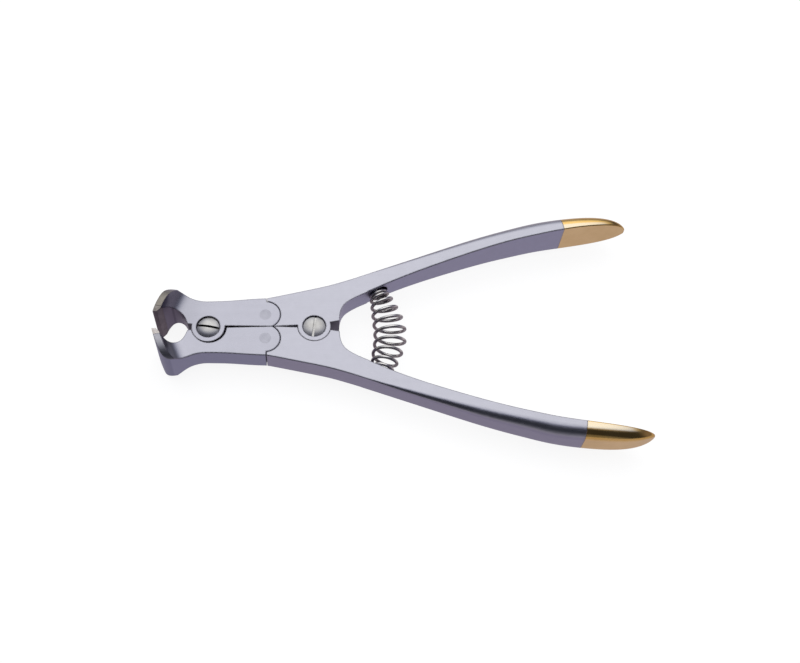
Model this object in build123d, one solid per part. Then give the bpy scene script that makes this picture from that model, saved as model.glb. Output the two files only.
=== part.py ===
# Double-action end cutter (compound-leverage end-cutting nipper) with a barrel
# return spring and plated handle ends. All lengths in millimetres.
#
# Working frame while the shapes are drawn: origin on the rear pivot axis at
# mid thickness, X along the tool (jaws towards -X, handle ends towards +X),
# +Z out of the screw-head side.  At the end everything is shifted so that the
# origin is the centre of the bounding box's bottom face.
#
# The lower jaw and the lower handle are the upper ones turned half a turn
# about the X axis, so both pivots are half-lap joints.
from build123d import *
from math import sin, cos, tan, asin, radians, degrees, atan2, sqrt, hypot
import os

# ---------------------------------------------------------------- dimensions
PIVOT_SPACING = 38.5        # rear pivot to front pivot, tool open
LINK_X, LINK_Y = -17.83, 4.81   # link pin centre, tool open
JAW_OPEN_DEG = 9.8          # turn of each jaw from closed to open
PLATE_H = 4.55              # half thickness of the pivot plates
JAW_HALF_W = 10.5           # half width of the cutting edge
LAP_GAP = 0.03              # each lap face stands this far from mid plane
FLAT_GAP = 0.06             # seam flats stand this far from the axis
JAW_RELIEF, HANDLE_RELIEF = 0.42, 0.5   # the same flats beside the pivot bosses
CROWN_Y, CROWN_R = 4.4, 9.5 # the head's end faces round off outwards from here
BOSS_R = 6.0                # lap boss radius, both pivots
SOCKET_R = 6.12             # socket round a boss
LEAF_R = 5.5                # jaw tail leaf radius about the link pin
LEAF_SOCKET_R = 5.64        # handle socket round the leaves
TONGUE_R = 4.9              # handle tongue radius about the link pin
SLOT_R = 5.1                # jaw slot radius round the tongue
TONGUE_H = 1.35             # half thickness of the tongue
SLOT_H = 1.42               # half height of the jaw slot
PIN_R = 2.1                 # link pin radius
PIN_PRESS = 0.01            # pin in the jaw leaves
PIN_RUN = 0.09              # pin in the handle tongue
HEAD_R, HEAD_DEPTH = 4.08, 1.7      # pivot screw head
HEAD_DOME = 0.75
CBORE_R = 4.32
SHOULDER_R, SHOULDER_RUN = 2.6, 0.05
THREAD_R, THREAD_FIT = 2.2, 0.015
SLOT_W, SLOT_D = 0.85, 1.15
BLEND_R = 7.6               # concave blend from the wide head to the shank
HEAD_LEAN_DEG = 11.3        # lean of the head's rear face, jaws closed
HEAD_REAR = (-16.25, 7.0)   # point on the rear face, from the front pivot
INSERT_H = 2.5              # height of the brazed cutting insert
REAR_STOP_DEG = 13.3        # rear flats of each handle, from the axis
SPRING_WIRE_R = 0.55
SPRING_END_R, SPRING_MID_R = 2.2, 4.9
SPRING_HALF = 16.4 
SPRING_TURNS = 9
SPRING_X = 24.6
SEAT_R, SEAT_DEPTH = 3.4, 2.74
GOLD_X = 96.6               # start of the plated end on the inner face
EDGE_R = 0.45

FX = -PIVOT_SPACING

# inner (finger side) line of the upper handle: x, y
INNER = [(20, 14.2), (28, 17.98), (38, 22.22), (50, 26.75), (64, 31.6), (79, 35.97),
         (94, 39.3), (106, 41.25), (114, 42.35), (119, 42.95), (121.95, 43.2)]
# section of the handle at those stations: width, half thickness, outer edge radius
SECT = [(7.3, 4.55, 0.33), (6.65, 4.62, 0.85), (6.25, 4.9, 1.6), (6.2, 5.45, 2.4),
        (6.33, 6.15, 3.3), (6.5, 6.85, 4.05), (6.45, 7.3, 4.4), (5.6, 7.25, 4.05),
        (4.35, 6.15, 3.2), (2.6, 4.25, 1.8), (0.85, 1.3, 0.3)]

# ------------------------------------------------------------------ helpers
def pol(cx, cy, r, deg):
    return (cx + r * cos(radians(deg)), cy + r * sin(radians(deg)))

def opened(x, y):
    """closed-jaw point measured from the front pivot -> open pose, working frame"""
    a = radians(-JAW_OPEN_DEG)
    return (FX + x * cos(a) - y * sin(a), x * sin(a) + y * cos(a))

def cyl(x, y, r, z0, z1):
    return Pos(x, y, (z0 + z1) / 2) * Cylinder(r, z1 - z0)

def slab(x0, x1, y0, y1, z0, z1):
    return Pos((x0 + x1) / 2, (y0 + y1) / 2, (z0 + z1) / 2) * Box(x1 - x0, y1 - y0, z1 - z0)

def prism(edges, z0, z1):
    f = make_face(Wire(edges)).faces()[0]
    return extrude(Pos(0, 0, z0) * f, amount=z1 - z0, dir=(0, 0, 1))

def polyline_edges(pts):
    return [Line(pts[i], pts[i + 1]).edge() for i in range(len(pts) - 1)]

def solid(s):
    """one solid out of a boolean result"""
    ss = sorted(s.solids(), key=lambda q: -q.volume)
    return ss[0]

def try_fillet(s, edges, r):
    for k in (1.0, 0.7, 0.45):
        try:
            f = solid(s.fillet(r * k, edges))
            if f.is_valid and f.volume > 0.9 * s.volume:
                return f
        except Exception:
            pass
    print("fillet left out", r)
    return s

def half_turn_about(dx, dz):
    """half a turn about the line through the origin along (dx, 0, dz)"""
    a = degrees(atan2(-dz, dx))
    return Rot(0, a, 0) * Rot(180, 0, 0) * Rot(0, -a, 0)

def turned(s):
    """the lower twin of an upper part"""
    return Rot(180, 0, 0) * s

# --------------------------------------------------------------- upper jaw
# outer line, tip to horn: first part closed-pose points, then the shank
outer_pts = [opened(*p) for p in [(-19.75, 0.05), (-19.6, 1.9), (-19.1, 4.82), (-18.6, 7.1),
                                  (-18.05, 9.1), (-17.2, 10.6), (-15.9, 11.55), (-14.2, 11.93),
                                  (-12.4, 11.77), (-10.58, 11.25), (-8.43, 10.6), (-6.31, 10.2),
                                  (-4.27, 10.12), (-0.33, 10.72), (3.59, 11.5), (11.2, 13.4)]]
HORN_X = -17.52
outer_pts.append((HORN_X, 11.75))
outer_jaw = Spline(*outer_pts).edge()

# tail: horn wall, leaf arc, seam flat
HORN_FOOT = sqrt(LEAF_R ** 2 - (HORN_X - LINK_X) ** 2)
horn_foot = (HORN_X, LINK_Y + HORN_FOOT)
leaf_end_x = LINK_X + sqrt(LEAF_R ** 2 - (LINK_Y - FLAT_GAP) ** 2)
tail = [Line(outer_pts[-1], horn_foot).edge(),
        ThreePointArc(horn_foot, (LINK_X + LEAF_R * cos(radians(8)), LINK_Y + LEAF_R * sin(radians(8))),
                      (leaf_end_x, FLAT_GAP)).edge()]
# seam flat back to the front pivot, then the front flat (radial when open)
front_in = opened(-7.6, FLAT_GAP)
corner = (FX + 0.5, JAW_RELIEF)
flats = polyline_edges([(leaf_end_x, FLAT_GAP), (FX + 5.3, JAW_RELIEF), corner, front_in])
# arch over the work, then the cutting edge
arch_pts = [opened(*p) for p in [(-7.6, FLAT_GAP), (-8.4, 1.45), (-9.4, 2.8), (-10.7, 3.9), (-12.1, 4.5),
                                 (-13.6, 4.72), (-15.0, 4.35), (-16.2, 3.3), (-17.15, 2.05)]]
arch = Spline(*arch_pts).edge()
edge_in = opened(-18.25, 0.36)
edge_tip = outer_pts[0]
nose = polyline_edges([arch_pts[-1], edge_in, edge_tip])
profile = [outer_jaw] + tail + flats + [arch] + nose
jaw_full = prism(profile, -JAW_HALF_W, JAW_HALF_W)

# side envelope: wide head, concave blends, plate-thick shank; drawn in XZ of a
# frame leaning with the head's rear face, and extruded along that lean
lean = radians(HEAD_LEAN_DEG + JAW_OPEN_DEG)
rear = opened(*HEAD_REAR)
XR = 0.0
BC = PLATE_H + BLEND_R                              # height of the blend's centre
BX = sqrt(BLEND_R ** 2 - (BC - JAW_HALF_W) ** 2)    # and its distance from the rear face
bm = atan2(BX, BC - JAW_HALF_W) / 2
blend_mid = (XR + BX - BLEND_R * sin(bm), BC - BLEND_R * cos(bm))
env_edges = [
    Line((-30, -JAW_HALF_W), (XR, -JAW_HALF_W)).edge(),
    ThreePointArc((XR, -JAW_HALF_W), (blend_mid[0], -blend_mid[1]), (XR + BX, -PLATE_H)).edge(),
    Line((XR + BX, -PLATE_H), (60, -PLATE_H)).edge(),
    Line((60, -PLATE_H), (60, PLATE_H)).edge(),
    Line((60, PLATE_H), (XR + BX, PLATE_H)).edge(),
    ThreePointArc((XR + BX, PLATE_H), blend_mid, (XR, JAW_HALF_W)).edge(),
    Line((XR, JAW_HALF_W), (-30, JAW_HALF_W)).edge(),
    Line((-30, JAW_HALF_W), (-30, -JAW_HALF_W)).edge()]
env_plane = Plane(origin=(rear[0], rear[1], 0), x_dir=(cos(lean), -sin(lean), 0),
                  z_dir=(-sin(lean), -cos(lean), 0))
env_face = env_plane * make_face(Wire(env_edges))
envelope = extrude(env_face, amount=60, both=True)

# crowned end faces of the head, drawn across the jaw (distance from the closed
# axis, height) and run along it
ja = radians(JAW_OPEN_DEG)
ce = 12.3
cz = JAW_HALF_W - CROWN_R
ch = cz + sqrt(CROWN_R ** 2 - (ce - CROWN_Y) ** 2)
cm = asin((ce - CROWN_Y) / CROWN_R) / 2
mid_c = (CROWN_Y + CROWN_R * sin(cm), cz + CROWN_R * cos(cm))
crown_edges = [
    Line((-20, -JAW_HALF_W), (CROWN_Y, -JAW_HALF_W)).edge(),
    ThreePointArc((CROWN_Y, -JAW_HALF_W), (mid_c[0], -mid_c[1]), (ce, -ch)).edge(),
    Line((ce, -ch), (30, -ch)).edge(), Line((30, -ch), (30, ch)).edge(), Line((30, ch), (ce, ch)).edge(),
    ThreePointArc((ce, ch), mid_c, (CROWN_Y, JAW_HALF_W)).edge(),
    Line((CROWN_Y, JAW_HALF_W), (-20, JAW_HALF_W)).edge(),
    Line((-20, JAW_HALF_W), (-20, -JAW_HALF_W)).edge()]
crown_plane = Plane(origin=(FX, 0, 0), x_dir=(sin(ja), cos(ja), 0), z_dir=(cos(ja), -sin(ja), 0))
crown = extrude(crown_plane * make_face(Wire(crown_edges)).faces()[0], amount=60, both=True)
jaw_block = solid(jaw_full & envelope & crown)
jaw = jaw_block

# split off the brazed insert along a seat plane square to the closed axis
def opened_box(x0, x1, y0, y1):
    pts = [opened(x0, y0), opened(x1, y0), opened(x1, y1), opened(x0, y1), opened(x0, y0)]
    return prism(polyline_edges(pts), -30, 30)

insert_zone = opened_box(-24, -15.0, -3, INSERT_H)
upper_insert = solid(jaw & insert_zone)
jaw = solid(jaw - insert_zone)

# soften the long outside edges before the joints are cut
def shank_edges(s, zabs):
    out = []
    for e in s.edges():
        c = e.center()
        if abs(abs(c.Z) - zabs) < 0.02 and e.length > 12 and c.Y > 6:
            b = e.bounding_box()
            if abs(b.max.Z - b.min.Z) < 0.05:
                out.append(e)
    return out

es = shank_edges(jaw, PLATE_H)
if es:
    jaw = try_fillet(jaw, es, EDGE_R)

# lap at the front pivot: boss on the top half, socket in the bottom half
boss = cyl(FX, 0, BOSS_R, LAP_GAP, PLATE_H)
socket = cyl(FX, 0, SOCKET_R, -PLATE_H - 1, LAP_GAP)
jaw = solid((jaw - socket) + boss)
jaw = solid(jaw - cyl(FX, 0, SHOULDER_R + SHOULDER_RUN, -1, PLATE_H + 1)
            - cyl(FX, 0, CBORE_R, PLATE_H - HEAD_DEPTH, PLATE_H + 1))

# fork in the tail for the handle tongue
slot_round = cyl(LINK_X, LINK_Y, SLOT_R, -SLOT_H, SLOT_H)
slot_tail = slab(LINK_X, LINK_X + 12, -2, 9.2, -SLOT_H, SLOT_H)
jaw = solid(jaw - slot_round - slot_tail)
jaw = solid(jaw - cyl(LINK_X, LINK_Y, PIN_R + PIN_PRESS, -10, 10))
upper_jaw = jaw

# lower twin: boss on the bottom half with the threaded bore; its top socket is
# relieved on the seam side so the boss shoulder can swing
jaw2 = solid(jaw_block - insert_zone)
es = shank_edges(jaw2, PLATE_H)
if es:
    jaw2 = try_fillet(jaw2, es, EDGE_R)
relief = Pos(FX + 0.42, 0.22, (-PLATE_H - 1 + LAP_GAP) / 2) * Cylinder(SOCKET_R + 0.16, PLATE_H + 1 + LAP_GAP)
jaw2 = solid((jaw2 - socket - relief) + boss)
jaw2 = solid(jaw2 - cyl(FX, 0, THREAD_R + THREAD_FIT, -10, PLATE_H + 1))
jaw2 = solid(jaw2 - slot_round - slot_tail - cyl(LINK_X, LINK_Y, PIN_R + PIN_PRESS, -10, 10))
lower_jaw = turned(jaw2)
lower_insert = turned(upper_insert)

# ------------------------------------------------------------ upper handle
def slope(i):
    j, k = max(i - 1, 0), min(i + 1, len(INNER) - 1)
    return atan2(INNER[k][1] - INNER[j][1], INNER[k][0] - INNER[j][0])

def section(i):
    (x, y), (w, t, r) = INNER[i], SECT[i]
    r1 = min(0.45, 0.4 * min(w, t))
    q = sin(radians(45))
    pts = lambda cx, cz, rr, sx, sz: ((cx, cz + sz * rr), (cx + sx * rr * q, cz + sz * rr * q), (cx + sx * rr, cz))
    E = []
    a = pts(w - r, t - r, r, 1, 1)        # outer top
    b = pts(w - r, -t + r, r, 1, -1)      # outer bottom
    c = pts(r1, -t + r1, r1, -1, -1)      # inner bottom
    d = pts(r1, t - r1, r1, -1, 1)        # inner top
    E = [Line(d[0], a[0]).edge(), ThreePointArc(*a).edge(), Line(a[2], b[2]).edge(),
         ThreePointArc(b[2], b[1], b[0]).edge(), Line(b[0], c[0]).edge(),
         ThreePointArc(*c).edge(), Line(c[2], d[2]).edge(), ThreePointArc(d[2], d[1], d[0]).edge()]
    m = slope(i)
    pl = Plane(origin=(x, y, 0), x_dir=(-sin(m), cos(m), 0), z_dir=(cos(m), sin(m), 0))
    return pl * make_face(Wire(E))

grip = solid(loft([section(i) for i in range(len(INNER))]))

# plate with the pivot and the tongue
m0 = slope(0)
sec_in = INNER[0]
sec_out = (INNER[0][0] - sin(m0) * SECT[0][0], INNER[0][1] + cos(m0) * SECT[0][0])
HX = HORN_X + 0.28
h_foot = (HX, LINK_Y + sqrt(LEAF_SOCKET_R ** 2 - (HX - LINK_X) ** 2))
h_end = (LINK_X + sqrt(LEAF_SOCKET_R ** 2 - (LINK_Y - FLAT_GAP) ** 2), FLAT_GAP)
mo = radians(19.8)
outer_h = Spline((HX, 11.8), (-11.2, 13.12), (-5.15, 14.5), (0.6, 15.83), (6.0, 17.2), (11.2, 18.85), sec_out,
                 tangents=[(1, 0.2), (cos(mo), sin(mo))]).edge()
rs = radians(REAR_STOP_DEG)
rear_out = (9.25, 9.25 * tan(rs))
inner_h = Spline(rear_out, (9.5, 5.05), (10.75, 8.35), (13.3, 10.7), (16.6, 12.58), sec_in,
                 tangents=[(0.02, 1), (cos(m0), sin(m0))]).edge()
axis_corner = (-0.5, HANDLE_RELIEF)
plate = prism([outer_h, Line(sec_out, sec_in).edge(), inner_h,
               Line(rear_out, axis_corner).edge(), Line(axis_corner, (-5.3, HANDLE_RELIEF)).edge(),
               Line((-5.3, HANDLE_RELIEF), h_end).edge(),
               ThreePointArc(h_end, pol(LINK_X, LINK_Y, LEAF_SOCKET_R, 10), h_foot).edge(),
               Line(h_foot, (HX, 11.8)).edge()], -PLATE_H, PLATE_H)
plate = solid(plate)
es = [e for e in plate.edges() if abs(abs(e.center().Z) - PLATE_H) < 0.02 and e.length > 20 and e.center().Y > 9]
plate = try_fillet(plate, es, EDGE_R)

tongue_reach = slab(LINK_X, LINK_X + 8.5, FLAT_GAP, 9.0, -TONGUE_H, TONGUE_H)
tongue = (cyl(LINK_X, LINK_Y, TONGUE_R, -TONGUE_H, TONGUE_H) & slab(-40, 0, FLAT_GAP, 30, -5, 5)) + \
         (tongue_reach & cyl(LINK_X, LINK_Y, LEAF_SOCKET_R + 0.6, -5, 5) )
h_socket = cyl(0, 0, SOCKET_R, -PLATE_H - 1, LAP_GAP)
h_boss = cyl(0, 0, BOSS_R, LAP_GAP, PLATE_H)
handle = solid(plate + grip)
relief_cut = prism(polyline_edges([(h_end[0], -3), h_end, (-5.3, HANDLE_RELIEF), (-5.3, -3), (h_end[0], -3)]),
                   -PLATE_H - 1, PLATE_H + 1)
tongue = solid(tongue - relief_cut)
handle = solid((handle + tongue - h_socket) + h_boss)
handle = solid(handle - cyl(LINK_X, LINK_Y, PIN_R + PIN_RUN, -10, 10))

# spring seat: blind round recess square to the inner face
ms = atan2(INNER[1][1] - INNER[0][1], INNER[1][0] - INNER[0][0])
seat_y = INNER[0][1] + tan(ms) * (SPRING_X - INNER[0][0]) + 0.03
seat_pl = Plane(origin=(SPRING_X, seat_y, 0), z_dir=(-sin(ms), cos(ms), 0))
seat_cut = seat_pl * (Pos(0, 0, SEAT_DEPTH / 2 - 1.0) * Cylinder(SEAT_R, SEAT_DEPTH + 2.0))
handle = solid(handle - seat_cut)

# plated end split off along a plane square to the handle
mg = radians(9.6)
gold_pl = Plane(origin=(GOLD_X, 39.7, 0), z_dir=(cos(mg), sin(mg), 0))
far = gold_pl * (Pos(0, 0, 30) * Box(60, 60, 60))
upper_gold = solid(handle & far)
handle = solid(handle - far)

upper_handle = solid(handle - cyl(0, 0, SHOULDER_R + SHOULDER_RUN, -1, PLATE_H + 1)
                     - cyl(0, 0, CBORE_R, PLATE_H - HEAD_DEPTH, PLATE_H + 1))
lower_handle = turned(solid(handle - cyl(0, 0, THREAD_R + THREAD_FIT, -10, PLATE_H + 1)))
lower_gold = turned(upper_gold)

# ------------------------------------------------------------- fasteners
def pivot_screw(x, slot_deg):
    head0 = PLATE_H - HEAD_DEPTH + 0.03
    R = (HEAD_R ** 2 + HEAD_DOME ** 2) / (2 * HEAD_DOME)
    top = PLATE_H - 0.35
    head = cyl(0, 0, HEAD_R, head0, top)
    dome = Pos(0, 0, top + HEAD_DOME - R) * Sphere(R)
    dome = dome & cyl(0, 0, HEAD_R, top, top + HEAD_DOME + 1)
    head = head + dome
    head = head - Rot(0, 0, slot_deg) * slab(-6, 6, -SLOT_W / 2, SLOT_W / 2, top + HEAD_DOME - SLOT_D, 9)
    body = cyl(0, 0, SHOULDER_R, 0.0, head0) + cyl(0, 0, THREAD_R, -PLATE_H + 0.1, 0.0)
    return Pos(x, 0, 0) * solid(head + body)

front_screw = pivot_screw(FX, -9.5)
rear_screw = pivot_screw(0, 82.0)

def link_pin(y):
    p = cyl(LINK_X, y, PIN_R, -PLATE_H, PLATE_H)
    return solid(p)

upper_pin = link_pin(LINK_Y)
lower_pin = link_pin(-LINK_Y)

# ------------------------------------------------------------ return spring
half = SPRING_HALF
spread = degrees(atan2(SPRING_MID_R - SPRING_END_R, half))
coil = Helix(pitch=half / (SPRING_TURNS / 2), height=half, radius=SPRING_END_R,
             direction=(0, 1, 0), center=(SPRING_X, -half, 0), cone_angle=spread)
wire = coil.edge()
half_coil = solid(sweep(Plane(origin=wire @ 0, z_dir=wire % 0) * Circle(SPRING_WIRE_R), path=wire, is_frenet=True))
mid = wire @ 1
other = Pos(SPRING_X, 0, 0) * half_turn_about(mid.X - SPRING_X, mid.Z) * Pos(-SPRING_X, 0, 0) * half_coil
spring = solid(half_coil + other)
print("coil end", wire @ 0, wire @ 1, "length", wire.length, "vol/expected", half_coil.volume / (3.14159 * SPRING_WIRE_R ** 2 * wire.length))

# ----------------------------------------------------------------- output
parts = {
    "upper_jaw": upper_jaw, "lower_jaw": lower_jaw,
    "upper_cutting_insert": upper_insert, "lower_cutting_insert": lower_insert,
    "upper_handle": upper_handle, "lower_handle": lower_handle,
    "upper_handle_gold_end": upper_gold, "lower_handle_gold_end": lower_gold,
    "front_pivot_screw": front_screw, "rear_pivot_screw": rear_screw,
    "upper_link_pin": upper_pin, "lower_link_pin": lower_pin,
    "return_spring": spring,
}
lo = [1e9] * 3
hi = [-1e9] * 3
for s in parts.values():
    b = s.bounding_box()
    for k, (u, v) in enumerate(((b.min.X, b.max.X), (b.min.Y, b.max.Y), (b.min.Z, b.max.Z))):
        lo[k], hi[k] = min(lo[k], u), max(hi[k], v)
print("box before shift", [round(v, 3) for v in lo], [round(v, 3) for v in hi])
X_MID = 32.0                # middle of the overall length, from the rear pivot
SHIFT = (-X_MID, 0, JAW_HALF_W)
os.makedirs("parts", exist_ok=True)
for name, s in parts.items():
    s = Pos(*SHIFT) * solid(s)
    s.label = name
    export_step(s, f"parts/{name}.step")
print("length", round(hi[0] - lo[0], 3), "mid x", round((hi[0] + lo[0]) / 2, 3))
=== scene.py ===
import bpy, bmesh, math
import numpy as np
from mathutils import Vector, Matrix


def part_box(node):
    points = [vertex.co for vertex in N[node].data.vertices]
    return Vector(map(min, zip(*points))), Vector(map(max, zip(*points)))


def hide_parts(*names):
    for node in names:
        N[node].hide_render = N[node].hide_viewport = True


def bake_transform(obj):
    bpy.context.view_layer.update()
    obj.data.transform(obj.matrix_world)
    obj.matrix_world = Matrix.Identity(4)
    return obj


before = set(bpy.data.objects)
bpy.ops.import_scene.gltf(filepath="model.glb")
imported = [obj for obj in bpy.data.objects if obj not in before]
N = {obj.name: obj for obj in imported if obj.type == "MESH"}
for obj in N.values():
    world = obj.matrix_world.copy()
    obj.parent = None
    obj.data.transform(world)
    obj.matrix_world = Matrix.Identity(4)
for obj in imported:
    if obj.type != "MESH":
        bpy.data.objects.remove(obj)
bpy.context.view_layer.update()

# ------------------------------------------------------------------ camera
# the pose that gives the reference viewing angle; metres, row frame
SHIFT = Vector((-0.032, 0.0, 0.0105))
cam_data = bpy.data.cameras.new("camera")
cam_data.sensor_width = 36.0
cam_data.lens = 36.0 * 1148.942 / 800.0
cam = bpy.data.objects.new("camera", cam_data)
bpy.context.scene.collection.objects.link(cam)
cam_rot = Matrix(((0.9972932, 0.0075889, -0.0731346), (-0.0398184, 0.8919243, -0.4504282), (0.0618123, 0.4521211, 0.8898122)))
cam.matrix_world = Matrix.Translation(Vector((0.000524, -0.193021, 0.379892)) + SHIFT) @ cam_rot.to_4x4()
cam_data.shift_y = 1.10 / 800.0
cam_data.clip_start, cam_data.clip_end = 0.01, 20.0
bpy.context.scene.camera = cam

# ------------------------------------------------------------- node helpers
class Mat:
    def __init__(self, name):
        self.m = bpy.data.materials.new(name)
        self.m.use_nodes = True
        self.t = self.m.node_tree
        for n in list(self.t.nodes):
            self.t.nodes.remove(n)
        self.out = self.t.nodes.new("ShaderNodeOutputMaterial")
        self.b = self.t.nodes.new("ShaderNodeBsdfPrincipled")
        self.t.links.new(self.b.outputs[0], self.out.inputs["Surface"])
        self.tc = self.t.nodes.new("ShaderNodeTexCoord")

    def put(self, sock, v):
        if isinstance(v, bpy.types.NodeSocket):
            self.t.links.new(v, sock)
        elif v is not None:
            sock.default_value = v
        return self

    def new(self, kind, **kw):
        n = self.t.nodes.new(kind)
        for k, v in kw.items():
            setattr(n, k, v)
        return n

    def mapping(self, vec, scale=(1, 1, 1), loc=(0, 0, 0), rot=(0, 0, 0)):
        n = self.new("ShaderNodeMapping")
        self.put(n.inputs["Vector"], vec)
        n.inputs["Location"].default_value = loc
        n.inputs["Rotation"].default_value = rot
        n.inputs["Scale"].default_value = scale
        return n.outputs[0]

    def noise(self, vec, scale, detail=3.0, rough=0.55, distortion=0.0):
        n = self.new("ShaderNodeTexNoise")
        self.put(n.inputs["Vector"], vec)
        n.inputs["Scale"].default_value = scale
        n.inputs["Detail"].default_value = detail
        n.inputs["Roughness"].default_value = rough
        n.inputs["Distortion"].default_value = distortion
        return n.outputs["Fac"]

    def math(self, op, a, b=0.0, clamp=False):
        n = self.new("ShaderNodeMath", operation=op, use_clamp=clamp)
        self.put(n.inputs[0], a)
        self.put(n.inputs[1], b)
        return n.outputs[0]

    def ramp(self, fac, stops):
        n = self.new("ShaderNodeValToRGB")
        self.put(n.inputs[0], fac)
        e = n.color_ramp.elements
        while len(e) > 1:
            e.remove(e[-1])
        e[0].position, e[0].color = stops[0][0], (*stops[0][1], 1.0)
        for p, c in stops[1:]:
            x = e.new(p)
            x.color = (*c, 1.0)
        return n.outputs["Color"]

    def maprange(self, v, a, b, c, d, smooth=False):
        n = self.new("ShaderNodeMapRange", clamp=True)
        if smooth:
            n.interpolation_type = "SMOOTHSTEP"
        self.put(n.inputs["Value"], v)
        for i, q in zip(("From Min", "From Max", "To Min", "To Max"), (a, b, c, d)):
            n.inputs[i].default_value = q
        return n.outputs["Result"]

    def mix(self, fac, a, b, mode="MIX"):
        n = self.new("ShaderNodeMix", data_type="RGBA", blend_type=mode)
        self.put(n.inputs["Factor"], fac)
        self.put(n.inputs[6], a if isinstance(a, bpy.types.NodeSocket) else (*a, 1.0))
        self.put(n.inputs[7], b if isinstance(b, bpy.types.NodeSocket) else (*b, 1.0))
        return n.outputs[2]

    def sep(self, vec):
        n = self.new("ShaderNodeSeparateXYZ")
        self.put(n.inputs[0], vec)
        return n.outputs

    def bevel(self, r):
        n = self.new("ShaderNodeBevel", samples=4)
        n.inputs["Radius"].default_value = r
        return n.outputs[0]

    def bump(self, h, strength, dist, normal=None):
        n = self.new("ShaderNodeBump")
        n.inputs["Strength"].default_value = strength
        n.inputs["Distance"].default_value = dist
        self.put(n.inputs["Height"], h)
        if normal is not None:
            self.put(n.inputs["Normal"], normal)
        return n.outputs[0]

    def edge_mask(self, r, lo=0.02, hi=0.25):
        """1 on convex edges: the rounded normal leaves the true one"""
        g = self.new("ShaderNodeNewGeometry")
        d = self.new("ShaderNodeVectorMath", operation="DOT_PRODUCT")
        self.put(d.inputs[0], self.bevel(r))
        self.put(d.inputs[1], g.outputs["Normal"])
        return self.maprange(self.math("SUBTRACT", 1.0, d.outputs["Value"]), lo, hi, 0.0, 1.0, True)


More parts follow.
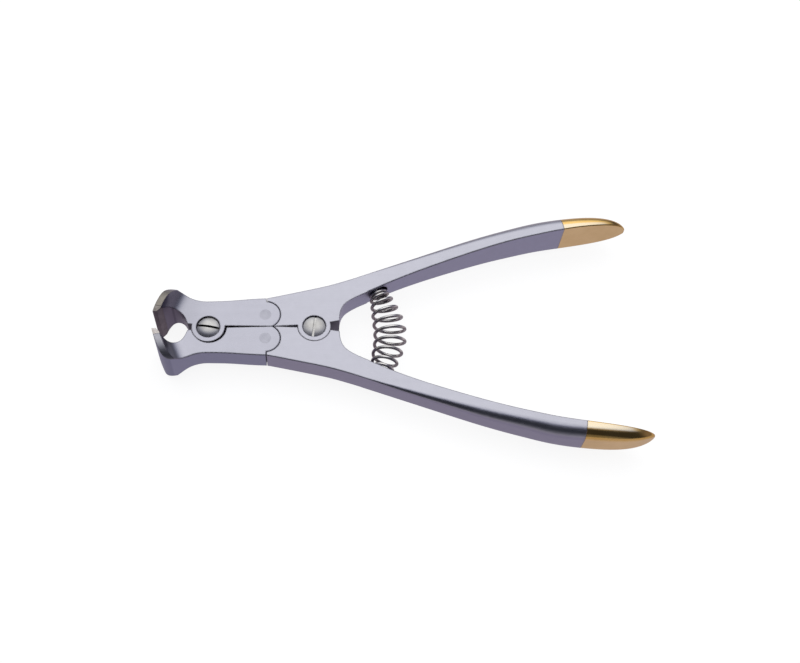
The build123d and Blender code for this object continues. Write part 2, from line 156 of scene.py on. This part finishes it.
def steel(name, top, side, rough_top, rough_side, turn=0.0, inner=0.0, pit=None, crown=None, head_end_shade=0.0, pins=(), upper=False, brush=1.0, bevel_r=0.00055):
    """satin steel: fine grinding lines along the tool; the flanks get a darker colour than the top faces (painted
    shade), and convex edges are darkened to thin lines (painted shade)
    """
    s = Mat(name)
    obj = s.tc.outputs["Object"]
    nrm = s.sep(s.tc.outputs["Normal"])
    nz = s.math("ABSOLUTE", nrm[2])
    flank = s.maprange(nz, 0.25, 0.62, 1.0, 0.0, True)
    lines = s.noise(s.mapping(obj, (55, 2600, 2600), rot=(0, 0, turn)), 1.0, 5.0, 0.6)
    coarse = s.noise(s.mapping(obj, (18, 520, 520), rot=(0, 0, turn)), 1.0, 3.0, 0.5)
    grain = s.noise(obj, 5200.0, 2.0, 0.6)
    cloud = s.noise(obj, 75.0, 4.0, 0.55)
    blotch = s.noise(obj, 340.0, 3.0, 0.6)
    edge = s.edge_mask(0.0006)
    if inner:
        # painted shade: the faces the two jaws turn to each other are darkened, as shade falls in the seam between them
        facing = s.maprange(s.math("MULTIPLY", nrm[1], inner), 0.12, 0.5, 0.0, 1.0, True)
        side = s.mix(facing, side, (0.150, 0.128, 0.182))
    x, y, z = s.sep(obj)
    if pit:
        # painted shade: the clearance notch beside the pivot boss is darkened, as shade falls in it
        px = s.math("MULTIPLY", s.maprange(x, pit[0] - 0.0003, pit[0], 0.0, 1.0), s.maprange(x, pit[1], pit[1] + 0.0003, 1.0, 0.0))
        py = s.maprange(s.math("ABSOLUTE", y), pit[2], pit[2] + 0.0003, 1.0, 0.0)
        side = s.mix(s.math("MULTIPLY", s.math("MULTIPLY", px, py), 0.85), side, (0.055, 0.050, 0.066))
    if crown:
        # rounded end faces of the head, ground a little duller than the cheeks (higher roughness), with a colour set
        # per jaw, darker on the upper jaw (painted shade)
        on = s.math("MULTIPLY", s.maprange(nrm[0], 0.16, 0.06, 0.0, 1.0, True), s.maprange(x, -0.0829, -0.0834, 0.0, 1.0, True))
        top = s.mix(on, top, s.ramp(s.noise(obj, 900.0, 4.0, 0.6), [(0.3, crown[0]), (0.7, crown[1])]))
    # painted shade: the steep flanks take the darker side colour, the up-facing faces the top colour
    col = s.mix(flank, top, side)
    tone = s.math("ADD", s.maprange(cloud, 0.3, 0.7, -0.035, 0.035), s.maprange(lines, 0.25, 0.75, -0.035 * brush, 0.035 * brush))
    tone = s.math("ADD", tone, s.maprange(blotch, 0.3, 0.7, -0.018, 0.018))
    tone = s.math("ADD", tone, s.maprange(coarse, 0.3, 0.7, -0.012, 0.012))
    # painted shade: darker towards the head end of the jaw
    if head_end_shade:
        tone = s.math("ADD", tone, s.maprange(x, -0.0820, -0.0670, -head_end_shade, 0.0, True))
    bright = s.math("ADD", 1.0, tone)
    hsv = s.new("ShaderNodeHueSaturation")
    s.put(hsv.inputs["Color"], col)
    s.put(hsv.inputs["Value"], bright)
    if upper:
        # painted shade: the dark edge line is kept off the corners facing +y, the outer corners of the upper levers;
        # the other corners keep it
        edge = s.math("MULTIPLY", edge, s.maprange(s.sep(s.bevel(0.0006))[1], 0.10, 0.40, 1.0, 0.1, True))
    flush = None
    for cx, cy in pins:
        # the pins are ground off with the cheek, so the rim of their bore is not broken
        dx, dy = s.math("SUBTRACT", x, cx), s.math("SUBTRACT", y, cy)
        rr = s.math("SQRT", s.math("ADD", s.math("MULTIPLY", dx, dx), s.math("MULTIPLY", dy, dy)))
        one = s.maprange(rr, 0.0025, 0.0029, 1.0, 0.0)
        flush = one if flush is None else s.math("MAXIMUM", flush, one)
    if flush is not None:
        edge = s.math("MULTIPLY", edge, s.math("SUBTRACT", 1.0, flush))
    # painted shade: convex edges are darkened to thin dark lines
    col2 = s.mix(s.math("MULTIPLY", edge, 0.75), hsv.outputs[0], (0.090, 0.080, 0.090))
    s.put(s.b.inputs["Base Color"], col2)
    s.b.inputs["Metallic"].default_value = 1.0
    r0 = s.math("ADD", s.maprange(flank, 0, 1, rough_top, rough_side), s.maprange(cloud, 0.3, 0.7, -0.03, 0.035))
    r1 = s.math("ADD", r0, s.maprange(lines, 0.25, 0.75, -0.04, 0.04))
    r2 = s.math("ADD", r1, s.math("MULTIPLY", on, 0.14)) if crown else r1
    s.put(s.b.inputs["Roughness"], r2)
    n0 = s.bevel(bevel_r)
    if flush is not None:
        g = s.new("ShaderNodeNewGeometry")
        pick = s.new("ShaderNodeMix", data_type="VECTOR")
        s.put(pick.inputs["Factor"], flush)
        s.put(pick.inputs[4], n0)
        s.put(pick.inputs[5], g.outputs["Normal"])
        n0 = pick.outputs[1]
    n1 = s.bump(lines, 0.16 * brush, 0.00002, n0)
    n2 = s.bump(grain, 0.10, 0.00001, n1)
    s.put(s.b.inputs["Normal"], n2)
    return s.m


def gold(name):
    """thin bright gold plate over the satin forging"""
    s = Mat(name)
    obj = s.tc.outputs["Object"]
    nrm = s.sep(s.tc.outputs["Normal"])
    nz = s.math("ABSOLUTE", nrm[2])
    flank = s.maprange(nz, 0.1, 0.45, 1.0, 0.0, True)
    cloud = s.noise(obj, 140.0, 4.0, 0.55)
    fine = s.noise(s.mapping(obj, (90, 2200, 2200)), 1.0, 4.0, 0.6)
    grain = s.noise(obj, 4200.0, 2.0, 0.6)
    edge = s.edge_mask(0.0005)
    col = s.ramp(cloud, [(0.25, (0.60, 0.37, 0.105)), (0.5, (0.66, 0.42, 0.13)), (0.78, (0.69, 0.46, 0.165))])
    # painted highlight: a pale band along the crown of the grip, paler than the shoulders, fading out towards the tip
    crown = s.math("MULTIPLY", s.maprange(nrm[1], -0.30, -0.16, 0.0, 1.0, True), s.maprange(nrm[1], 0.10, -0.02, 0.0, 1.0, True))
    tip = s.maprange(s.sep(obj)[0], 0.0795, 0.0835, 0.85, 0.0, True)
    col = s.mix(s.math("MULTIPLY", crown, tip), col, (0.66, 0.60, 0.47))
    # painted light: the flanks get a lighter, more orange copy of the gold than the top faces
    col = s.mix(flank, col, s.ramp(cloud, [(0.3, (0.71, 0.50, 0.235)), (0.7, (0.81, 0.59, 0.30))]))
    # painted shade: convex edges are darkened to thin dark lines
    col = s.mix(s.math("MULTIPLY", edge, 0.5), col, (0.20, 0.135, 0.06))
    s.put(s.b.inputs["Base Color"], col)
    s.b.inputs["Metallic"].default_value = 1.0
    r = s.math("ADD", s.maprange(flank, 0, 1, 0.15, 0.36), s.maprange(fine, 0.25, 0.75, -0.03, 0.05))
    s.put(s.b.inputs["Roughness"], s.math("ADD", r, s.maprange(cloud, 0.3, 0.7, -0.02, 0.03)))
    n1 = s.bump(fine, 0.07, 0.00002, s.bevel(0.0002))
    s.put(s.b.inputs["Normal"], s.bump(grain, 0.05, 0.00001, n1))
    return s.m


def turned(name, centre, base, dark, rough, ring=5200.0, dome=0.0, top=None, walls=0.0, floor=0.0, rim=True):
    """lathe-turned face: concentric tool marks about the piece's own axis"""
    s = Mat(name)
    obj = s.tc.outputs["Object"]
    x, y, z = s.sep(s.mapping(obj, loc=(-centre[0], -centre[1], 0)))
    rr = s.math("SQRT", s.math("ADD", s.math("MULTIPLY", x, x), s.math("MULTIPLY", y, y)))
    comb = s.new("ShaderNodeCombineXYZ")
    s.put(comb.inputs[0], rr)
    s.put(comb.inputs[2], s.math("MULTIPLY", z, 0.2))
    rings = s.noise(comb.outputs[0], ring, 3.0, 0.6)
    cloud = s.noise(obj, 420.0, 4.0, 0.6)
    grain = s.noise(obj, 6000.0, 2.0, 0.6)
    col = s.mix(s.maprange(cloud, 0.35, 0.7, 0.0, 1.0), base, dark)
    # painted highlight: convex edges get a brighter rim
    if rim:
        col = s.mix(s.math("MULTIPLY", s.edge_mask(0.0003), 0.5), col, tuple(min(1.0, c * 1.25) for c in base))
    if top is not None:
        # painted shade: the walls and the bottom of the slot are darkened, and under the rim
        nz = s.math("ABSOLUTE", s.sep(s.tc.outputs["Normal"])[2])
        wall = s.math("MULTIPLY", s.maprange(nz, 0.2, 0.5, walls, 0.0, True), s.maprange(rr, 0.0036, 0.0039, 1.0, 0.0))
        low = s.maprange(z, top - 0.00110, top - 0.00082, floor, 0.0, True)
        col = s.mix(s.math("MAXIMUM", wall, low), col, (0.03, 0.026, 0.024))
    s.put(s.b.inputs["Base Color"], col)
    s.b.inputs["Metallic"].default_value = 1.0
    r = s.math("ADD", s.maprange(rings, 0.25, 0.75, rough - 0.05, rough + 0.07), s.maprange(cloud, 0.3, 0.7, -0.03, 0.03))
    s.put(s.b.inputs["Roughness"], r)
    n0 = s.bevel(0.00012) if rim else s.new("ShaderNodeNewGeometry").outputs["Normal"]
    if dome:
        n0 = s.bump(s.math("MULTIPLY", s.math("MULTIPLY", rr, rr), -dome), 1.0, 1.0, n0)
    n1 = s.bump(rings, 0.22, 0.00002, n0)
    s.put(s.b.inputs["Normal"], s.bump(grain, 0.06, 0.00001, n1))
    return s.m


def carbide(name, inner, tone):
    """ground hard metal: darker, speckled, fine cross grinding"""
    s = Mat(name)
    obj = s.tc.outputs["Object"]
    spots = s.noise(obj, 1500.0, 4.0, 0.65)
    cloud = s.noise(obj, 380.0, 3.0, 0.6)
    cross = s.noise(s.mapping(obj, (2400, 2400, 90)), 1.0, 4.0, 0.6)
    edge = s.edge_mask(0.00025)
    col = s.ramp(spots, [(0.3, (0.12, 0.108, 0.10)), (0.55, (0.20, 0.188, 0.178)), (0.8, (0.30, 0.285, 0.27))])
    col = s.mix(s.maprange(cloud, 0.4, 0.7, 0.0, 0.5), col, (0.22, 0.19, 0.16))
    # painted highlight: convex edges are lightened
    col = s.mix(s.math("MULTIPLY", edge, 0.6), col, (0.42, 0.41, 0.40))
    # painted light: overall brightness set per insert; the lower insert is painted brighter than the upper
    lift = s.new("ShaderNodeHueSaturation")
    s.put(lift.inputs["Color"], col)
    lift.inputs["Value"].default_value = tone
    col = lift.outputs[0]
    nrm = s.sep(s.tc.outputs["Normal"])
    # painted shade: steep faces turned to the other jaw are darkened, as shade falls in the seam
    facing = s.maprange(s.math("MULTIPLY", nrm[1], inner), 0.12, 0.5, 0.0, 1.0, True)
    steep = s.maprange(s.math("ABSOLUTE", nrm[2]), 0.3, 0.6, 1.0, 0.0, True)
    col = s.mix(s.math("MULTIPLY", facing, steep), col, s.ramp(cloud, [(0.3, (0.078, 0.060, 0.076)), (0.7, (0.112, 0.086, 0.104))]))
    s.put(s.b.inputs["Base Color"], col)
    s.b.inputs["Metallic"].default_value = 1.0
    s.put(s.b.inputs["Roughness"], s.maprange(cross, 0.25, 0.75, 0.27, 0.42))
    s.put(s.b.inputs["Normal"], s.bump(cross, 0.2, 0.00002, s.bevel(0.0001)))
    return s.m


def wire_mat(name):
    """drawn and coiled spring wire: draw lines along the wire, darker oxide in patches; the sides of the wire get a
    dark colour and its top a pale one (painted shade and painted highlight)
    """
    s = Mat(name)
    uv = s.tc.outputs["UV"]
    obj = s.tc.outputs["Object"]
    draw = s.noise(s.mapping(uv, (14, 34, 1)), 1.0, 4.0, 0.6)
    patch = s.noise(obj, 520.0, 4.0, 0.6)
    grain = s.noise(obj, 5200.0, 2.0, 0.6)
    nz = s.sep(s.tc.outputs["Normal"])[2]
    dark = s.ramp(patch, [(0.25, (0.125, 0.106, 0.112)), (0.75, (0.235, 0.205, 0.216))])
    pale = s.ramp(patch, [(0.25, (0.50, 0.485, 0.45)), (0.75, (0.74, 0.725, 0.69))])
    # painted shade and highlight: sides of the wire take the dark copy, upward-facing parts the pale copy
    col = s.mix(s.maprange(nz, 0.15, 0.62, 0.0, 1.0, True), dark, pale)
    s.put(s.b.inputs["Base Color"], col)
    s.b.inputs["Metallic"].default_value = 1.0
    s.put(s.b.inputs["Roughness"], s.math("ADD", s.maprange(draw, 0.25, 0.75, 0.17, 0.3), s.maprange(patch, 0.3, 0.7, 0.04, -0.03)))
    n1 = s.bump(draw, 0.15, 0.00003)
    s.put(s.b.inputs["Normal"], s.bump(grain, 0.08, 0.00001, n1))
    return s.m


# --------------------------------------------------------------- materials
# TOP colours for up-facing faces and darker *_SIDE colours for the flanks are lit and shaded copies of one steel:
# painted shade on the flanks
TOP, TOP2 = (0.377, 0.377, 0.420), (0.397, 0.397, 0.438)
JAW_SIDE, UP_SIDE, LOW_SIDE = (0.272, 0.280, 0.385), (0.335, 0.338, 0.450), (0.312, 0.302, 0.392)
SCREW, SCREW2, PIN = (0.455, 0.450, 0.435), (0.370, 0.360, 0.340), (0.352, 0.352, 0.390)
top_of = lambda n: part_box(n)[1][2]
mats = {
    "upper_jaw": steel("upper_jaw_steel", TOP, JAW_SIDE, 0.30, 0.40, 0.0, inner=-1.0, pit=(-0.0786, -0.0752, 0.0020), crown=((0.250, 0.230, 0.198), (0.305, 0.280, 0.240)), head_end_shade=0.13, upper=True, pins=((-0.04983, 0.00481),)),
    "lower_jaw": steel("lower_jaw_steel", TOP, JAW_SIDE, 0.30, 0.40, 0.0, inner=1.0, pit=(-0.0786, -0.0752, 0.0020), crown=((0.335, 0.333, 0.355), (0.400, 0.398, 0.425)), pins=((-0.04983, -0.00481),)),
    "upper_handle": steel("upper_handle_steel", TOP2, UP_SIDE, 0.30, 0.40, math.radians(-17), upper=True, pit=(-0.0264, -0.0206, 0.0023)),
    "lower_handle": steel("lower_handle_steel", TOP2, LOW_SIDE, 0.30, 0.40, math.radians(17), pit=(-0.0264, -0.0206, 0.0023)),
    "upper_handle_gold_end": gold("upper_gold_plate"),
    "lower_handle_gold_end": gold("lower_gold_plate"),
    "upper_cutting_insert": carbide("upper_carbide", -1.0, 1.0),
    "lower_cutting_insert": carbide("lower_carbide", 1.0, 2.2),
    "front_pivot_screw": turned("front_screw_steel", (-0.0705, 0.0), SCREW, SCREW2, 0.24, dome=15.0, top=top_of("front_pivot_screw"), walls=0.93, floor=0.93),
    "rear_pivot_screw": turned("rear_screw_steel", (-0.032, 0.0), SCREW, SCREW2, 0.26, dome=9.0, top=top_of("rear_pivot_screw"), walls=0.80),
    "upper_link_pin": turned("upper_pin_steel", (-0.04983, 0.00481), PIN, (0.318, 0.318, 0.355), 0.34, rim=False),
    "lower_link_pin": turned("lower_pin_steel", (-0.04983, -0.00481), PIN, (0.318, 0.318, 0.355), 0.34, rim=False),
}
for n, m in mats.items():
    o = N[n]
    o.data.materials.clear()
    o.data.materials.append(m)

# ----------------------------------------------------------- return spring
def spring_mesh():
    """bowed barrel coil from seat to seat, close-wound at both ends; the planes of the turns fan out with the bow"""
    wire_r = 0.00062
    # turn number, y of the turn's centre (mm), centre offset in x (mm), mean coil radius (mm)
    prof = [(-2.7, 16.6, 24.1, 2.25), (-2.0, 15.9, 24.1, 2.6), (-1.0, 14.8, 24.5, 3.1), (0.0, 12.7, 25.3, 3.75),
            (1.0, 8.9, 26.3, 4.6), (2.0, 5.15, 27.3, 5.3), (3.0, 0.5, 28.05, 5.74), (4.0, -4.0, 28.0, 5.6),
            (5.0, -8.35, 26.95, 5.1), (6.0, -12.35, 25.6, 4.45), (7.0, -15.25, 24.7, 3.65), (8.0, -16.5, 24.5, 2.7)]
    ts, ys, xs, rs = (np.array(v) for v in zip(*prof))
    n = 430
    out = []
    soft = np.linspace(-0.5, 0.5, 9)
    for t in np.linspace(ts[0], ts[-1], n):
        # light smoothing of the profile
        k = np.clip(t + soft * min(1.0, 2 * (t - ts[0]), 2 * (ts[-1] - t)), ts[0], ts[-1])
        y, x, r = (float(np.mean(np.interp(k, ts, v))) for v in (ys, xs, rs))
        th = math.radians(1.32 * y)
        side = Vector((math.cos(th), math.sin(th), 0))
        a = 2 * math.pi * t
        ph = math.radians(np.interp(y, (-12.0, -8.3, -3.9, 0.5, 5.2, 9.0, 16.0), (-5.0, -3.5, 2.2, 4.5, 8.5, 8.5, 8.0)))
        lean = Vector((0, -math.sin(ph), math.cos(ph)))
        c = Vector((x, y, 0)) + side * (r / math.cos(th) * math.cos(a)) + lean * (r * math.sin(a))
        out.append(c * 0.001 + Vector((-0.032, 0, 0.0105)))
    return out, wire_r


def tube(name, pts, r, seg=14):
    me = bpy.data.meshes.new(name)
    bm = bmesh.new()
    uvl = bm.loops.layers.uv.new("UVMap")
    P = [Vector(p) for p in pts]
    T = []
    for i in range(len(P)):
        a, b = P[max(0, i - 1)], P[min(len(P) - 1, i + 1)]
        T.append((b - a).normalized())
    up = Vector((0, 0, 1)).cross(T[0]).normalized()
    rings, lens = [], [0.0]
    # rounded ends: a few shrinking rings before the first and after the last point
    caps = [(0.95, 0.31), (0.78, 0.63), (0.45, 0.89)]
    def ring(c, t, nrm, rad):
        bi = t.cross(nrm).normalized()
        return [bm.verts.new(c + nrm * (rad * math.cos(2 * math.pi * k / seg)) + bi * (rad * math.sin(2 * math.pi * k / seg))) for k in range(seg)]
    frames = []
    nrm = (up - T[0] * up.dot(T[0])).normalized()
    for i in range(len(P)):
        nrm = (nrm - T[i] * nrm.dot(T[i])).normalized()
        frames.append(nrm.copy())
    for back, rad in reversed([(c[1] * r, c[0] * r) for c in [(0.951, 0.31), (0.777, 0.63), (0.454, 0.89)]]):
        rings.append(ring(P[0] - T[0] * back, T[0], frames[0], rad))
    for i in range(len(P)):
        rings.append(ring(P[i], T[i], frames[i], r))
    for back, rad in [(c[1] * r, c[0] * r) for c in [(0.951, 0.31), (0.777, 0.63), (0.454, 0.89)]]:
        rings.append(ring(P[-1] + T[-1] * back, T[-1], frames[-1], rad))
    for i in range(len(rings) - 1):
        for k in range(seg):
            f = bm.faces.new((rings[i][k], rings[i][(k + 1) % seg], rings[i + 1][(k + 1) % seg], rings[i + 1][k]))
            f.smooth = True
            for l, (a, b) in zip(f.loops, ((i, k), (i, k + 1), (i + 1, k + 1), (i + 1, k))):
                l[uvl].uv = (a / 40.0, b / seg)
    for end, c in ((rings[0], P[0] - T[0] * r), (rings[-1], P[-1] + T[-1] * r)):
        v = bm.verts.new(c)
        for k in range(seg):
            a, b = end[k], end[(k + 1) % seg]
            f = bm.faces.new((a, v, b) if end is rings[0] else (a, b, v))
            f.smooth = True
    bmesh.ops.recalc_face_normals(bm, faces=bm.faces)
    bm.to_mesh(me)
    bm.free()
    o = bpy.data.objects.new(name, me)
    bpy.context.scene.collection.objects.link(o)
    return o

pts, wr = spring_mesh()
spring = tube("barrel_spring", pts, wr)
spring.data.materials.append(wire_mat("spring_wire"))
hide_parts("return_spring")
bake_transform(spring)

# ------------------------------------------------------ floor, light, world
fm = Mat("floor_paper")
fcol = fm.ramp(fm.noise(fm.tc.outputs["Object"], 3.0, 3.0, 0.5), [(0.3, (0.125, 0.125, 0.126)), (0.7, (0.135, 0.135, 0.135))])
fm.put(fm.b.inputs["Base Color"], fcol)
fm.b.inputs["Roughness"].default_value = 0.9
fm.b.inputs["Specular IOR Level"].default_value = 0.1
fm.b.inputs["Emission Color"].default_value = (1.0, 1.0, 1.0, 1.0)      # lit from below, like a light table
fm.b.inputs["Emission Strength"].default_value = 0.88
me = bpy.data.meshes.new("floor")
s = 3.0
me.from_pydata([(-s, -s, -0.0002), (s, -s, -0.0002), (s, s, -0.0002), (-s, s, -0.0002)], [], [(0, 1, 2, 3)])
floor = bpy.data.objects.new("floor", me)
bpy.context.scene.collection.objects.link(floor)
me.materials.append(fm.m)
floor.visible_glossy = False

def area(name, loc, aim, size, power, colour=(1, 1, 1), glossy=True):
    l = bpy.data.lights.new(name, "AREA")
    l.shape = "RECTANGLE"
    l.size, l.size_y = size
    l.energy = power
    l.color = colour
    o = bpy.data.objects.new(name, l)
    bpy.context.scene.collection.objects.link(o)
    o.location = loc
    o.rotation_mode = "QUATERNION"
    o.rotation_quaternion = (Vector(aim) - Vector(loc)).to_track_quat("-Z", "Y")
    o.visible_glossy = glossy
    return o

area("overhead", (0.0, 0.05, 0.9), (0, 0, 0), (1.4, 1.4), 9.0, glossy=False)

w = bpy.data.worlds.new("studio")
bpy.context.scene.world = w
w.use_nodes = True
t = w.node_tree
for n in list(t.nodes):
    t.nodes.remove(n)
out = t.nodes.new("ShaderNodeOutputWorld")
bg = t.nodes.new("ShaderNodeBackground")
t.links.new(bg.outputs[0], out.inputs[0])
tc = t.nodes.new("ShaderNodeTexCoord")

def wmath(op, a, b=0.0, clamp=False):
    n = t.nodes.new("ShaderNodeMath")
    n.operation, n.use_clamp = op, clamp
    for i, v in ((0, a), (1, b)):
        if isinstance(v, bpy.types.NodeSocket):
            t.links.new(v, n.inputs[i])
        else:
            n.inputs[i].default_value = v
    return n.outputs[0]

def wrange(v, a, b, c=0.0, d=1.0):
    n = t.nodes.new("ShaderNodeMapRange")
    n.interpolation_type = "SMOOTHSTEP"
    t.links.new(v, n.inputs["Value"])
    for i, q in zip(("From Min", "From Max", "To Min", "To Max"), (a, b, c, d)):
        n.inputs[i].default_value = q
    return n.outputs["Result"]

def wdot(direction):
    d = Vector(direction).normalized()
    n = t.nodes.new("ShaderNodeVectorMath")
    n.operation = "DOT_PRODUCT"
    t.links.new(tc.outputs["Generated"], n.inputs[0])
    n.inputs[1].default_value = d
    return n.outputs["Value"]

def wmix(fac, a, b):
    n = t.nodes.new("ShaderNodeMix")
    n.data_type = "RGBA"
    t.links.new(fac, n.inputs["Factor"])
    for i, v in ((6, a), (7, b)):
        if isinstance(v, bpy.types.NodeSocket):
            t.links.new(v, n.inputs[i])
        else:
            n.inputs[i].default_value = (*v, 1.0)
    return n.outputs[2]

up = wdot((0, 0, 1))
# dark room, paler towards the back, one wide soft box above and behind the tool
room = wmix(wrange(wdot((-0.45, 0.89, 0)), 0.30, 0.85), (0.045, 0.047, 0.06), (0.46, 0.455, 0.43))
room = wmix(wrange(wdot((1, 0, 0)), 0.62, 0.96), room, (0.27, 0.245, 0.31))
room = wmix(wrange(wdot((-1, 0, 0)), 0.80, 0.98), room, (0.42, 0.41, 0.40))
room = wmix(wrange(wdot((0, -1, 0)), 0.885, 0.975), room, (0.24, 0.24, 0.27))
soft = wdot((0.0, 0.56, 0.83))
room = wmix(wrange(soft, math.cos(math.radians(60)), math.cos(math.radians(34))), room, (0.24, 0.26, 0.42))
sky = wmix(wrange(soft, math.cos(math.radians(51)), math.cos(math.radians(13))), room, (1.56, 1.56, 1.60))
low = wrange(up, -0.10, -0.01)
final = wmix(low, (0.62, 0.57, 0.63), sky)
t.links.new(final, bg.inputs["Color"])
bg.inputs["Strength"].default_value = 1.0

sc = bpy.context.scene
sc.view_settings.view_transform = "Standard"
sc.view_settings.look = "None"
sc.view_settings.exposure = 0.0
